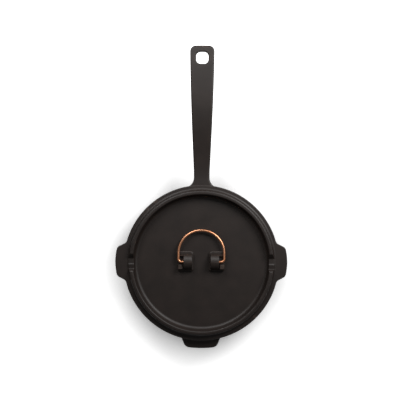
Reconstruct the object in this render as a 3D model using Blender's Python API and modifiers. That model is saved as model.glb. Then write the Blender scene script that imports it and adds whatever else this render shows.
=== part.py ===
"""Lidded cast iron camp skillet with a flanged lid and a swinging wire bail, at real size in metres.

The origin is the middle of the pan's flat base. +Y runs along the handle and +Z is up.
The pan and the lid are one casting each, and the bail turns in two bored bosses on the lid.
"""

import math

import bmesh
import bpy
from mathutils import Vector

# Gaps between the separate pieces
SEAT_GAP = 0.0003
PLUG_CLEARANCE = 0.0008
BORE_CLEARANCE = 0.0003
BAIL_REST_GAP = 0.0003

# Bowl of the pan
PAN_HEIGHT = 0.046
RIM_RADIUS = 0.077
RIM_WIDTH = 0.006
RIM_EDGE = 0.0014
BAND_HEIGHT = 0.007
BAND_PROUD = 0.0027
BAND_FILLET = 0.002
STRAIGHT_DEPTH = 0.0055
FLOOR_INSET = 0.0145
FLOOR_THICKNESS = 0.005
FLOOR_FILLET = 0.008
WALL = 0.0042
BASE_EDGE = 0.004

# Pour spouts: they lie under the lid's ears, on the same cross line
CROSS_LINE = 0.001
SPOUT_SETBACK = 0.0013
SPOUT_DEPTH = 0.022
SPOUT_DIP = 0.0028

# Tongues that leave the rim: the long handle and the helper grip opposite it
TONGUE_TOP_BELOW_RIM = 0.001
TONGUE_EDGE = 0.0016
TONGUE_TUCK = 0.0053
HANDLE_LENGTH = 0.1396
HANDLE_ROOT_WIDTH = 0.0154
HANDLE_FLARE = 0.0091
HANDLE_ROOT_FILLET = 0.010
HANDLE_END_CORNER = 0.0045
HANDLE_END_BOW = 0.0003
HANDLE_THICKNESS = 0.007
HANDLE_ROOT_EXTRA = 0.002
HANDLE_ROOT_EXTRA_LENGTH = 0.030
HANDLE_RISE = 0.0108
RISE_START_OUT = 0.007
RISE_LENGTH = 0.099
TIP_DROOP = 0.001
GRIP_LENGTH = 0.0092
GRIP_ROOT_WIDTH = 0.040
GRIP_END_WIDTH = 0.0314
GRIP_ROOT_FILLET = 0.004
GRIP_END_CORNER = 0.006
GRIP_END_BOW = 0.0012
GRIP_THICKNESS = 0.006
GRIP_SLOPE = 0.10

# Hang hole
HOLE_SIZE = 0.0122
HOLE_CORNER = 0.0043
HOLE_FROM_END = 0.0123

# Lid: a flange over the rim, a plug inside it, a raised ring and a sunken well
FLANGE_OVERHANG = 0.0006
FLANGE_THICKNESS = 0.004
FLANGE_EDGE = 0.0012
LID_PLATE = 0.004
LAND_WIDTH = 0.00505
RING_TOP_WIDTH = 0.0037
RING_OUTER_LEAN = 0.00065
RING_INNER_LEAN = 0.0017
RING_HEIGHT = 0.005
WELL_DEPTH = 0.0038
WELL_FILLET = 0.0036
RING_EDGE = 0.0016
RING_FOOT_FILLET = 0.0025
PLUG_EDGE = 0.001

# Ears of the flange
EAR_LENGTH = 0.0083
EAR_ROOT_WIDTH = 0.0378
EAR_END_WIDTH = 0.0292
EAR_CORNER = 0.0045
EAR_ROOT_FILLET = 0.0045
EAR_END_RADIUS = 0.056

# Notches across the ring, measured from the cross line: short slope behind, long slope in front
NOTCH_BACK = 0.0069
NOTCH_FRONT = 0.0094
SILL_BACK = 0.0034
SILL_FRONT = 0.0025
NOTCH_DEPTH = 0.0043

# Bosses in the well, measured from the bail's pin line
PIN_HEIGHT = 0.0052
BARREL_RADIUS = 0.0082
BARREL_HEIGHT = 0.0094
BARREL_INNER = 0.0092
BARREL_OUTER = 0.0178
BARREL_EDGE = 0.0005
SHOULDER_DEPTH = 0.0018
SHOULDER_STEP = 0.0004
SHOULDER_LEG_CLEARANCE = 0.0004
PAD_INNER = 0.0076
PAD_OUTER = 0.0236
PAD_BACK = 0.0107
PAD_FRONT = 0.0092
PAD_HEIGHT = 0.0032
PAD_EDGE = 0.0012
PAD_CORNER = 0.0016
PAD_INNER_CORNER = 0.0036
STUB_WIDTH = 0.0045
STUB_OUTER = 0.0231
STUB_BACK = 0.0028
STUB_HEIGHT = 0.0063
STUB_EDGE = 0.0008

# Bail
WIRE_RADIUS = 0.00125
BAIL_ARC_RADIUS = 0.02285
BAIL_LEG = 0.0086
BAIL_BEND = 0.003
PIN_LENGTH_IN_BORE = 0.0070

# Places that follow from the sizes above, as distances from the middle of the pan
FLOOR_RADIUS = RIM_RADIUS - FLOOR_INSET
HANDLE_END = RIM_RADIUS + HANDLE_LENGTH
HOLE_MIDDLE = HANDLE_END - HOLE_FROM_END
RISE_START = RIM_RADIUS + RISE_START_OUT
RISE_END = RISE_START + RISE_LENGTH
GRIP_END = RIM_RADIUS + GRIP_LENGTH
FLANGE_RADIUS = RIM_RADIUS + FLANGE_OVERHANG
PLUG_RADIUS = RIM_RADIUS - RIM_WIDTH - PLUG_CLEARANCE
RING_FOOT_RADIUS = FLANGE_RADIUS - LAND_WIDTH
RING_OUTER_RADIUS = RING_FOOT_RADIUS - RING_OUTER_LEAN
RING_INNER_RADIUS = RING_OUTER_RADIUS - RING_TOP_WIDTH
WELL_RADIUS = RING_INNER_RADIUS - RING_INNER_LEAN
EAR_REACH = FLANGE_RADIUS + EAR_LENGTH
SPOUT_REACH = FLANGE_OVERHANG + EAR_LENGTH - SPOUT_SETBACK
SPOUT_HALF_WIDTH = EAR_ROOT_WIDTH / 2 - SPOUT_SETBACK

# How finely curves are divided
TURN_STEPS = 84
SPOUT_CROWDING = 0.25
MOST_TURN = math.radians(30)
ARC_TURN = math.radians(11)
HANDLE_SIDE_STEPS = 12
BEND_STEP = 0.009
LUG_LEAD = 0.0025
WELD = 1e-6
OVERLAP = 0.002


def clear_scene():
    for obj in list(bpy.data.objects):
        bpy.data.objects.remove(obj, do_unlink=True)


def new_collection(name):
    collection = bpy.data.collections.new(name)
    bpy.context.scene.collection.children.link(collection)
    return collection


def new_material(name, colour, roughness, metallic):
    material = bpy.data.materials.new(name)
    material.use_nodes = True
    shader = material.node_tree.nodes["Principled BSDF"]
    shader.inputs["Base Color"].default_value = (*colour, 1.0)
    shader.inputs["Roughness"].default_value = roughness
    shader.inputs["Metallic"].default_value = metallic
    return material


def add_object(name, data, collection):
    obj = bpy.data.objects.new(name, data)
    collection.objects.link(obj)
    return obj


def mesh_from(source):
    """The mesh that a curve or a modifier stack makes, with its loose caps welded."""
    bpy.context.view_layer.update()
    graph = bpy.context.evaluated_depsgraph_get()
    mesh = bpy.data.meshes.new_from_object(source.evaluated_get(graph))
    shape = bmesh.new()
    shape.from_mesh(mesh)
    bmesh.ops.remove_doubles(shape, verts=shape.verts, dist=WELD)
    bmesh.ops.recalc_face_normals(shape, faces=shape.faces)
    shape.to_mesh(mesh)
    shape.free()
    return mesh


def made_real(source, collection):
    """A mesh object in the place of source, which is removed."""
    name = source.name
    mesh = mesh_from(source)
    obj = add_object(name + "_mesh", mesh, collection)
    obj.matrix_world = source.matrix_world
    bpy.data.objects.remove(source, do_unlink=True)
    obj.name = name
    return obj


def arc(centre, radius, start, end, most_turn=ARC_TURN):
    """Points along an arc between two angles, both ends included."""
    steps = max(1, math.ceil(abs(end - start) / most_turn))
    angles = [start + (end - start) * step / steps for step in range(steps + 1)]
    return [
        Vector((centre[0] + radius * math.cos(a), centre[1] + radius * math.sin(a)))
        for a in angles
    ]


def rounded(corners, most_turn=MOST_TURN):
    """A run of corners (x, y, radius), each with a radius turned into an arc that meets both its lines."""
    points = []
    for index, (x, y, radius) in enumerate(corners):
        corner = Vector((x, y))
        if radius == 0:
            points.append(corner)
            continue
        before = (Vector(corners[index - 1][:2]) - corner).normalized()
        after = (Vector(corners[(index + 1) % len(corners)][:2]) - corner).normalized()
        half = before.angle(after) / 2
        centre = corner + (before + after).normalized() * radius / math.sin(half)
        spoke = corner + before * radius / math.tan(half) - centre
        turn = math.pi - 2 * half
        if before.cross(after) > 0:
            turn = -turn
        start = math.atan2(spoke.y, spoke.x)
        points.extend(arc(centre, radius, start, start + turn, most_turn))
    return points


def turned(name, profile, collection):
    """A surface of revolution about Z from a profile in the XZ plane."""
    mesh = bpy.data.meshes.new(name)
    points = [(point.x, 0.0, point.y) for point in profile]
    edges = [(index, index + 1) for index in range(len(points) - 1)]
    mesh.from_pydata(points, edges, [])
    obj = add_object(name, mesh, collection)
    screw = obj.modifiers.new("Turn", "SCREW")
    screw.steps = TURN_STEPS
    screw.render_steps = TURN_STEPS
    screw.use_merge_vertices = True
    screw.merge_threshold = WELD
    return obj


def plate(name, outlines, thickness, edge, collection):
    """A flat plate about z 0 from closed outlines, first the edge and then the holes, with rounded edges."""
    curve = bpy.data.curves.new(name, "CURVE")
    curve.dimensions = "2D"
    curve.fill_mode = "BOTH"
    curve.extrude = thickness / 2 - edge
    curve.bevel_depth = edge
    curve.bevel_resolution = 1
    curve.offset = -edge
    for outline in outlines:
        spline = curve.splines.new("POLY")
        spline.points.add(len(outline) - 1)
        for point, place in zip(spline.points, outline):
            point.co = (place.x, place.y, 0.0, 1.0)
        spline.use_cyclic_u = True
    return made_real(add_object(name, curve, collection), collection)


def along_x(obj):
    """Turns a plate so that its outline lies in the YZ plane and its thickness runs along X."""
    obj.rotation_euler = (math.pi / 2, 0.0, math.pi / 2)


def combine(target, other, operation):
    other.hide_render = True
    other.display_type = "WIRE"
    modifier = target.modifiers.new(other.name, "BOOLEAN")
    modifier.operation = operation
    modifier.solver = "EXACT"
    modifier.object = other


def finish(obj, material, collection):
    """The finished piece: its modifiers made real, shaded smooth with crisp arrises, in its own material."""
    piece = made_real(obj, collection)
    piece.data.materials.clear()
    piece.data.materials.append(material)
    piece.data.shade_smooth()
    piece.data.set_sharp_from_angle(angle=math.radians(35))
    return piece


def smooth_step(value):
    value = min(1.0, max(0.0, value))
    return value * value * (3 - 2 * value)


def lug_root(circle_radius, half_width, fillet):
    """Corners (side, out, radius) where a lug leaves a circle: one past the fillet, and the filleted one."""
    start = math.asin(half_width / circle_radius)
    past = start + (fillet + LUG_LEAD) / circle_radius
    return [
        (circle_radius * math.sin(past), circle_radius * math.cos(past), 0.0),
        (circle_radius * math.sin(start), circle_radius * math.cos(start), fillet),
    ]


def bowl_profile():
    inner_top = RIM_RADIUS - RIM_WIDTH
    wall_top = RIM_RADIUS - BAND_PROUD
    band_bottom = PAN_HEIGHT - BAND_HEIGHT
    draft = (inner_top - FLOOR_RADIUS) / (PAN_HEIGHT - STRAIGHT_DEPTH - FLOOR_THICKNESS)
    base_radius = FLOOR_RADIUS + WALL - FLOOR_THICKNESS * draft
    return rounded([
        (0.0, FLOOR_THICKNESS, 0.0),
        (FLOOR_RADIUS, FLOOR_THICKNESS, FLOOR_FILLET),
        (inner_top, PAN_HEIGHT - STRAIGHT_DEPTH, FLOOR_FILLET),
        (inner_top, PAN_HEIGHT, RIM_EDGE),
        (RIM_RADIUS, PAN_HEIGHT, RIM_EDGE),
        (RIM_RADIUS, band_bottom, RIM_EDGE),
        (wall_top, band_bottom - BAND_PROUD / 3, BAND_FILLET),
        (base_radius, 0.0, BASE_EDGE),
        (0.0, 0.0, 0.0),
    ])


def pull_out_spouts(mesh):
    """Draws the wall outwards and its rim down at +X and -X, keeping the wall's thickness."""
    for vertex in mesh.vertices:
        place = vertex.co
        radius = math.hypot(place.x, place.y)
        angle = math.atan2(place.y, place.x)
        angle -= SPOUT_CROWDING * math.sin(2 * angle)
        place.x = radius * math.cos(angle)
        place.y = radius * math.sin(angle)
        across = abs(place.y - CROSS_LINE) / SPOUT_HALF_WIDTH
        if across >= 1:
            continue
        share = smooth_step((place.z - PAN_HEIGHT + SPOUT_DEPTH) / SPOUT_DEPTH)
        share *= (1 - across**4) ** 2
        place.x += math.copysign(SPOUT_REACH * share, place.x)
        place.z -= SPOUT_DIP * share


def tongue_outline(side_points, root_fillet, end_corner, end_bow):
    """A tongue's edge in plan: its buried end, root fillets, sides, and round corners to a bowed end."""
    past, root = lug_root(RIM_RADIUS - TONGUE_EDGE / 4, side_points[0].x, root_fillet)
    buried_corner = (past[0], past[1], 1.1 * TONGUE_EDGE)
    reach = math.atan2(past[1], past[0])
    buried = arc((0.0, 0.0), RIM_RADIUS - TONGUE_TUCK, math.pi - reach, reach)
    tip = side_points[-1]
    corners = [(buried[-1].x, buried[-1].y, 0.0), buried_corner, root]
    corners += [(point.x, point.y, 0.0) for point in side_points[1:-1]]
    corners += [(tip.x, tip.y, end_corner), (tip.x / 2, tip.y + 0.75 * end_bow, 0.0)]
    right = rounded(corners)[1:]
    left = [Vector((-point.x, point.y)) for point in reversed(right)]
    return right + [Vector((0.0, tip.y + end_bow))] + left + buried


def tongue(name, outline, top, thickness, collection):
    """A flat bar, cut across at even steps and bent: its top follows top(out), its depth thickness(out)."""
    flat = 3 * TONGUE_EDGE
    bar = plate(name, [outline], flat, TONGUE_EDGE, collection)
    shape = bmesh.new()
    shape.from_mesh(bar.data)
    end = max(point.y for point in outline)
    cuts = math.ceil((end - RIM_RADIUS) / BEND_STEP)
    for cut in range(1, cuts):
        place = RIM_RADIUS + (end - RIM_RADIUS) * cut / cuts
        everything = shape.verts[:] + shape.edges[:] + shape.faces[:]
        bmesh.ops.bisect_plane(shape, geom=everything, dist=WELD, plane_co=(0, place, 0), plane_no=(0, 1, 0))
    for vertex in shape.verts:
        out = vertex.co.y
        if vertex.co.z > 0:
            vertex.co.z += top(out) - flat / 2
        else:
            vertex.co.z += top(out) - thickness(out) + flat / 2
    shape.to_mesh(bar.data)
    shape.free()
    return bar


def handle_top(out):
    """The handle climbs in one easy curve, runs level, and droops a little at the tip."""
    share = min(1.0, max(0.0, (out - RISE_START) / (RISE_END - RISE_START)))
    climb = HANDLE_RISE * (6 * share**2 - 8 * share**3 + 3 * share**4)
    droop = TIP_DROOP * (max(0.0, out - RISE_END) / (HANDLE_END - RISE_END)) ** 2
    return PAN_HEIGHT - TONGUE_TOP_BELOW_RIM + climb - droop


def handle_thickness(out):
    near_root = 1 - smooth_step((out - RIM_RADIUS) / HANDLE_ROOT_EXTRA_LENGTH)
    return HANDLE_THICKNESS + HANDLE_ROOT_EXTRA * near_root


def make_handle(helpers):
    """The handle widens quickly at first, and then more and more slowly to its end."""
    end = HANDLE_END - HANDLE_END_BOW
    start = RIM_RADIUS + HANDLE_ROOT_FILLET
    sides = []
    for step in range(HANDLE_SIDE_STEPS + 1):
        share = step / HANDLE_SIDE_STEPS
        width = HANDLE_ROOT_WIDTH + HANDLE_FLARE * (1 - (1 - share) ** 1.5)
        sides.append(Vector((width / 2, start + (end - start) * share)))
    del sides[-2]
    outline = tongue_outline(sides, HANDLE_ROOT_FILLET, HANDLE_END_CORNER, HANDLE_END_BOW)
    return tongue("handle", outline, handle_top, handle_thickness, helpers)


def make_grip(helpers):
    """The helper grip: short and wide, narrowing outwards and sloping down a little from the rim."""

    def top(out):
        return PAN_HEIGHT - TONGUE_TOP_BELOW_RIM - GRIP_SLOPE * max(0.0, out - RIM_RADIUS)

    def thickness(_out):
        return GRIP_THICKNESS

    sides = [
        Vector((GRIP_ROOT_WIDTH / 2, RIM_RADIUS)),
        Vector((GRIP_END_WIDTH / 2, GRIP_END - GRIP_END_BOW)),
    ]
    outline = tongue_outline(sides, GRIP_ROOT_FILLET, GRIP_END_CORNER, GRIP_END_BOW)
    grip = tongue("helper_grip", outline, top, thickness, helpers)
    grip.rotation_euler.z = math.pi
    return grip


def make_hang_hole(helpers):
    half = HOLE_SIZE / 2
    corners = [(-half, -half), (half, -half), (half, half), (-half, half)]
    outline = rounded([(x, y, HOLE_CORNER) for x, y in corners], MOST_TURN * 0.75)
    hole = plate("hang_hole", [outline], PAN_HEIGHT, 0.0, helpers)
    hole.location = (0.0, HOLE_MIDDLE, handle_top(HOLE_MIDDLE))
    return hole


def make_pan(parts, helpers, material):
    body = made_real(turned("skillet_pan", bowl_profile(), parts), parts)
    pull_out_spouts(body.data)
    combine(body, make_handle(helpers), "UNION")
    combine(body, make_grip(helpers), "UNION")
    combine(body, make_hang_hole(helpers), "DIFFERENCE")
    return finish(body, material, parts)


def lid_top_profile():
    """The lid's turned upper surface, from the well's middle over the ring to the flange's flat top."""
    well = FLANGE_THICKNESS - WELL_DEPTH
    crest = FLANGE_THICKNESS + RING_HEIGHT
    return rounded([
        (0.0, well, 0.0),
        (WELL_RADIUS, well, WELL_FILLET),
        (RING_INNER_RADIUS, crest, RING_EDGE),
        (RING_OUTER_RADIUS, crest, RING_EDGE),
        (RING_FOOT_RADIUS, FLANGE_THICKNESS, RING_FOOT_FILLET),
        (RING_FOOT_RADIUS + RING_FOOT_FILLET, FLANGE_THICKNESS, 0.0),
    ])


def lid_plug_profile():
    """The lid's turned underside, from the flange's flat bottom down round the plug to its middle."""
    bottom = FLANGE_THICKNESS - WELL_DEPTH - LID_PLATE
    return rounded([
        (PLUG_RADIUS, 0.0, 0.0),
        (PLUG_RADIUS, bottom, PLUG_EDGE),
        (0.0, bottom, 0.0),
    ])


def ear_points():
    """The edge of the ear at +X in plan, from its lower root to its upper root."""
    end_middle = EAR_REACH - EAR_END_RADIUS
    lean = math.asin(EAR_END_WIDTH / 2 / EAR_END_RADIUS)
    end = arc((end_middle, CROSS_LINE), EAR_END_RADIUS, -lean, lean, lean / 2)
    corners = [(point.x, point.y, 0.0) for point in end]
    for place, turn in ((0, -1), (-1, 1)):
        corners[place] = (*corners[place][:2], EAR_CORNER)
        half_width = EAR_ROOT_WIDTH / 2 + turn * CROSS_LINE
        past, root = lug_root(FLANGE_RADIUS, half_width, EAR_ROOT_FILLET)
        root = (root[1], turn * root[0], root[2])
        past = (past[1], turn * past[0], past[2])
        corners = [past, root] + corners if turn < 0 else corners + [root, past]
    return rounded(corners)


def flange_outline():
    """The lid's edge in plan: a circle with an ear at each end of the cross line."""
    right = ear_points()
    left = [Vector((-point.x, point.y)) for point in reversed(right)]
    turn = 2 * math.pi / TURN_STEPS
    upper = math.atan2(right[-1].y, right[-1].x)
    lower = math.atan2(left[-1].y, left[-1].x)
    top = arc((0.0, 0.0), FLANGE_RADIUS, upper, math.pi - upper, turn)
    bottom = arc((0.0, 0.0), FLANGE_RADIUS, lower, -math.pi - lower, turn)
    return right + top[1:-1] + left + bottom[1:-1]


def make_lid_casting(parts, helpers):
    """The flange's rounded edge, with the turned top and plug joined to it by flat rings."""
    flange = plate("flange", [flange_outline()], FLANGE_THICKNESS, FLANGE_EDGE, helpers)
    shape = bmesh.new()
    shape.from_mesh(flange.data)
    bmesh.ops.translate(shape, verts=shape.verts, vec=(0.0, 0.0, FLANGE_THICKNESS / 2))
    flat_faces = [face for face in shape.faces if abs(face.normal.z) > 0.99]
    bmesh.ops.delete(shape, geom=flat_faces, context="FACES")
    for name, profile in (("lid_top", lid_top_profile()), ("lid_plug", lid_plug_profile())):
        middle = made_real(turned(name, profile, helpers), helpers)
        middle.hide_render = True
        shape.from_mesh(middle.data)
    for height in (0.0, FLANGE_THICKNESS):
        rims = [
            edge for edge in shape.edges
            if edge.is_boundary and all(abs(vert.co.z - height) < WELD for vert in edge.verts)
        ]
        bmesh.ops.triangle_fill(shape, edges=rims, use_beauty=True)
    bmesh.ops.recalc_face_normals(shape, faces=shape.faces)
    mesh = bpy.data.meshes.new("skillet_lid")
    shape.to_mesh(mesh)
    shape.free()
    bpy.data.objects.remove(flange, do_unlink=True)
    return add_object("skillet_lid", mesh, parts)


def make_notch(side, helpers):
    """A cutter for the gap in the ring: a level sill with a slope up at each end."""
    outline = [
        Vector((NOTCH_BACK, OVERLAP)),
        Vector((-NOTCH_FRONT, OVERLAP)),
        Vector((-NOTCH_FRONT, 0.0)),
        Vector((-SILL_FRONT, -NOTCH_DEPTH)),
        Vector((SILL_BACK, -NOTCH_DEPTH)),
        Vector((NOTCH_BACK, 0.0)),
    ]
    inner = WELL_RADIUS - WELL_FILLET
    outer = EAR_REACH
    notch = plate(f"notch_{side:+d}", [outline], outer - inner, 0.0, helpers)
    along_x(notch)
    notch.location = (side * (inner + outer) / 2, CROSS_LINE, FLANGE_THICKNESS + RING_HEIGHT)
    return notch


def make_boss_pad(side, helpers):
    inner = side * PAD_INNER
    outer = side * PAD_OUTER
    outline = rounded([
        (inner, -PAD_FRONT, PAD_CORNER),
        (outer, -PAD_FRONT, PAD_CORNER),
        (outer, PAD_BACK, PAD_CORNER),
        (inner, PAD_BACK, PAD_INNER_CORNER),
    ])
    well = FLANGE_THICKNESS - WELL_DEPTH
    pad = plate(f"pad_{side:+d}", [outline], PAD_HEIGHT + OVERLAP, PAD_EDGE, helpers)
    pad.location = (0.0, CROSS_LINE, well + (PAD_HEIGHT - OVERLAP) / 2)
    return pad


def arch_section(radius, depth_in_pad, front):
    """A hump's section about the pin line: an arc that stands in the pad, from its back to front."""
    centre = BARREL_HEIGHT - BARREL_RADIUS - PIN_HEIGHT
    foot = PAD_HEIGHT - depth_in_pad - PIN_HEIGHT
    start = math.asin((foot - centre) / radius)
    end = math.pi - start if front is None else math.acos(front / radius)
    section = arc((0.0, centre), radius, start, end, MOST_TURN / 2)
    return section if front is None else section + [Vector((front, foot))]


def make_barrel(side, helpers):
    """The bored hump that holds one pin of the bail."""
    bore = arc((0.0, 0.0), WIRE_RADIUS + BORE_CLEARANCE, 0.0, 2 * math.pi, MOST_TURN)[:-1]
    length = BARREL_OUTER - BARREL_INNER
    outline = arch_section(BARREL_RADIUS, OVERLAP / 2, None)
    barrel = plate(f"barrel_{side:+d}", [outline, bore], length, BARREL_EDGE, helpers)
    along_x(barrel)
    barrel.location = (side * (BARREL_INNER + BARREL_OUTER) / 2, CROSS_LINE, pin_line_height())
    return barrel


def make_shoulder(side, helpers):
    """The hump's back, a step lower, carried on outwards behind the pin as far as the bail's leg."""
    radius = BARREL_RADIUS - SHOULDER_STEP
    outline = arch_section(radius, OVERLAP / 3, radius - SHOULDER_DEPTH)
    outer = BAIL_ARC_RADIUS - WIRE_RADIUS - SHOULDER_LEG_CLEARANCE
    inner = BARREL_OUTER - OVERLAP
    edge = min(BARREL_EDGE, SHOULDER_DEPTH / 8)
    shoulder = plate(f"shoulder_{side:+d}", [outline], outer - inner, edge, helpers)
    along_x(shoulder)
    shoulder.location = (side * (inner + outer) / 2, CROSS_LINE, pin_line_height())
    return shoulder


def make_stub(side, helpers):
    """The stop that the bail's leg meets when it swings right over."""
    half = STUB_WIDTH / 2
    corners = [(-half, -half), (half, -half), (half, half), (-half, half)]
    outline = rounded([(x, y, STUB_EDGE) for x, y in corners])
    height = STUB_HEIGHT - PAD_HEIGHT + OVERLAP
    stub = plate(f"stub_{side:+d}", [outline], height, STUB_EDGE / 2, helpers)
    well = FLANGE_THICKNESS - WELL_DEPTH
    stub.location = (
        side * (STUB_OUTER - half),
        CROSS_LINE - STUB_BACK - half,
        well + STUB_HEIGHT - height / 2,
    )
    return stub


def pin_line_height():
    """Height of the bail's pin line above the flange's underside."""
    return FLANGE_THICKNESS - WELL_DEPTH + PIN_HEIGHT


def make_lid(parts, helpers, material):
    body = make_lid_casting(parts, helpers)
    for side in (1, -1):
        combine(body, make_notch(side, helpers), "DIFFERENCE")
        combine(body, make_boss_pad(side, helpers), "UNION")
        combine(body, make_barrel(side, helpers), "UNION")
        combine(body, make_shoulder(side, helpers), "UNION")
        combine(body, make_stub(side, helpers), "UNION")
    lid = finish(body, material, parts)
    lid.location.z = PAN_HEIGHT + SEAT_GAP
    return lid


def bail_path():
    """The wire's middle line in its own plane, from one pin end to the other."""
    pin_end = BARREL_OUTER - PIN_LENGTH_IN_BORE
    leg_foot = (BAIL_ARC_RADIUS - BAIL_BEND, BAIL_BEND)
    right = [Vector((pin_end, 0.0))]
    right += arc(leg_foot, BAIL_BEND, -math.pi / 2, 0.0, MOST_TURN * 0.75)
    right += arc((0.0, BAIL_LEG), BAIL_ARC_RADIUS, 0.0, math.pi / 2)
    left = [Vector((-point.x, point.y)) for point in reversed(right[:-1])]
    return right + left


def bail_droop():
    """How far below level the bail lies when its legs rest on the back edges of the pads."""
    rest_back = PAD_BACK - PAD_EDGE
    drop = PIN_HEIGHT - PAD_HEIGHT - WIRE_RADIUS - BAIL_REST_GAP
    return math.atan2(drop, rest_back)


def make_bail(parts, lid, material):
    curve = bpy.data.curves.new("lid_bail", "CURVE")
    curve.dimensions = "3D"
    curve.bevel_depth = WIRE_RADIUS
    curve.bevel_resolution = 2
    curve.use_fill_caps = True
    path = bail_path()
    spline = curve.splines.new("POLY")
    spline.points.add(len(path) - 1)
    for point, place in zip(spline.points, path):
        point.co = (place.x, place.y, 0.0, 1.0)
    bail = finish(add_object("lid_bail", curve, parts), material, parts)
    bail.parent = lid
    bail.location = (0.0, CROSS_LINE, pin_line_height())
    bail.rotation_euler.x = -bail_droop()
    return bail


def main():
    clear_scene()
    parts = new_collection("lidded_skillet")
    helpers = new_collection("joined_and_cut_shapes")
    pan_iron = new_material("seasoned_pan_iron", (0.030, 0.026, 0.024), 0.42, 0.6)
    lid_iron = new_material("seasoned_lid_iron", (0.030, 0.026, 0.024), 0.42, 0.6)
    copper = new_material("copper_plated_wire", (0.80, 0.40, 0.25), 0.22, 1.0)
    make_pan(parts, helpers, pan_iron)
    lid = make_lid(parts, helpers, lid_iron)
    make_bail(parts, lid, copper)


main()
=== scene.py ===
# %% [markdown]
# A lidded cast iron skillet, dressed for its picture
#
# The real object is three pieces: a cast pan with its handle, a cast lid that lies on it, and a wire
# bail that swings on the lid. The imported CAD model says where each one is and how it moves, but it
# is made of coarse, flat triangles. It could keep its meshes and only get new materials, but the
# facets would show along every round edge. So each piece gets a finer one, made from the same sizes.
# Every length is in metres. The origin is the middle of the pan's base, and +Y runs along the handle.

# %% Load the frame
import math

import bmesh
import bpy
from mathutils import Matrix, Vector


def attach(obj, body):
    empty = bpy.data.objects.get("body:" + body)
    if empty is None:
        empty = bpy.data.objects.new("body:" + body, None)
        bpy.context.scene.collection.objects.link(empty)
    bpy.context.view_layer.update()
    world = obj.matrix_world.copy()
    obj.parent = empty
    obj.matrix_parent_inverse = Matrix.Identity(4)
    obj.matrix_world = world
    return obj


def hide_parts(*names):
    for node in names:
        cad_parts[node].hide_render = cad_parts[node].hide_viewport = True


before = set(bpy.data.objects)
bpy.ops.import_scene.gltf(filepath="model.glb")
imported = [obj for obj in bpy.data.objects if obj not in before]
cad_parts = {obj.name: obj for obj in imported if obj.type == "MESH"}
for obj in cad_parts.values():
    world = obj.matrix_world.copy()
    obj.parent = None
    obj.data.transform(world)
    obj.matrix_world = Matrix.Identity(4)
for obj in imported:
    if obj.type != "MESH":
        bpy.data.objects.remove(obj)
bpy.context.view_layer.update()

# %% [markdown]
# The bowl
#
# The bowl is poured in sand. It has a flat floor, walls that lean out so that the pattern leaves the
# mould, and a thicker band round the rim. It could be a cylinder with bevelled edges, but each corner
# of a casting has its own radius. So half of the section is drawn as one wire, each corner is
# rounded by its own amount, and the wire is spun once round the upright axis.

# %% Sizes of the bowl
PAN_HEIGHT = 0.046
RIM_RADIUS = 0.077
RIM_WIDTH = 0.006
RIM_EDGE = 0.0014
BAND_HEIGHT = 0.007
BAND_PROUD = 0.0027
BAND_FILLET = 0.002
STRAIGHT_DEPTH = 0.0055
FLOOR_RADIUS = 0.0625
FLOOR_THICKNESS = 0.005
FLOOR_FILLET = 0.008
WALL = 0.0042
BASE_EDGE = 0.004

print("Pan:", round(2000 * RIM_RADIUS), "mm over the rim,", round(1000 * PAN_HEIGHT), "mm high")


# %% A wire with rounded corners
def run_of_corners(corners, closed, segments=6):
    """A wire through corners (place, radius), each rounded off by its radius.

    A vertex bevel moves a corner's two new ends back along its sides. For a round of a given radius
    they lie radius / tan(half the corner's angle) away.
    """
    wire = bmesh.new()
    places = [Vector(place) for place, _ in corners]
    verts = [wire.verts.new(place) for place in places]
    ends = list(zip(verts, verts[1:] + verts[:1]))
    for first, second in ends if closed else ends[:-1]:
        wire.edges.new((first, second))
    for index, (_, radius) in enumerate(corners):
        if radius == 0:
            continue
        before = places[index - 1] - places[index]
        after = places[(index + 1) % len(places)] - places[index]
        back = radius / math.tan(before.angle(after) / 2)
        bmesh.ops.bevel(
            wire, geom=[verts[index]], offset=back, offset_type="OFFSET", affect="VERTICES",
            segments=segments, profile=0.5, clamp_overlap=False, material=-1,
        )
    return wire


def half_section(corners):
    """A wire in the XZ plane through corners (out from the axis, up, radius)."""
    return run_of_corners([((out, 0.0, up), radius) for out, up, radius in corners], closed=False)


# %% Half section of the bowl
LONG_EDGE = 0.02
WALL_CUTS = 7


def bowl_section():
    inner_top = RIM_RADIUS - RIM_WIDTH
    wall_top = RIM_RADIUS - BAND_PROUD
    band_bottom = PAN_HEIGHT - BAND_HEIGHT
    draft = (inner_top - FLOOR_RADIUS) / (PAN_HEIGHT - STRAIGHT_DEPTH - FLOOR_THICKNESS)
    base_radius = FLOOR_RADIUS + WALL - FLOOR_THICKNESS * draft
    return half_section([
        (0.0, FLOOR_THICKNESS, 0.0),
        (FLOOR_RADIUS, FLOOR_THICKNESS, FLOOR_FILLET),
        (inner_top, PAN_HEIGHT - STRAIGHT_DEPTH, FLOOR_FILLET),
        (inner_top, PAN_HEIGHT, RIM_EDGE),
        (RIM_RADIUS, PAN_HEIGHT, RIM_EDGE),
        (RIM_RADIUS, band_bottom, RIM_EDGE),
        (wall_top, band_bottom - BAND_PROUD / 3, BAND_FILLET),
        (base_radius, 0.0, BASE_EDGE),
        (0.0, 0.0, 0.0),
    ])


bowl_shape = bowl_section()
long_walls = [edge for edge in bowl_shape.edges if edge.calc_length() > LONG_EDGE]
bmesh.ops.subdivide_edges(bowl_shape, edges=long_walls, cuts=WALL_CUTS)
print("Half section of the bowl:", len(bowl_shape.edges), "edges")

# %% Spin the bowl
BOWL_STEPS = 256
SAME_PLACE = 1e-6


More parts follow.
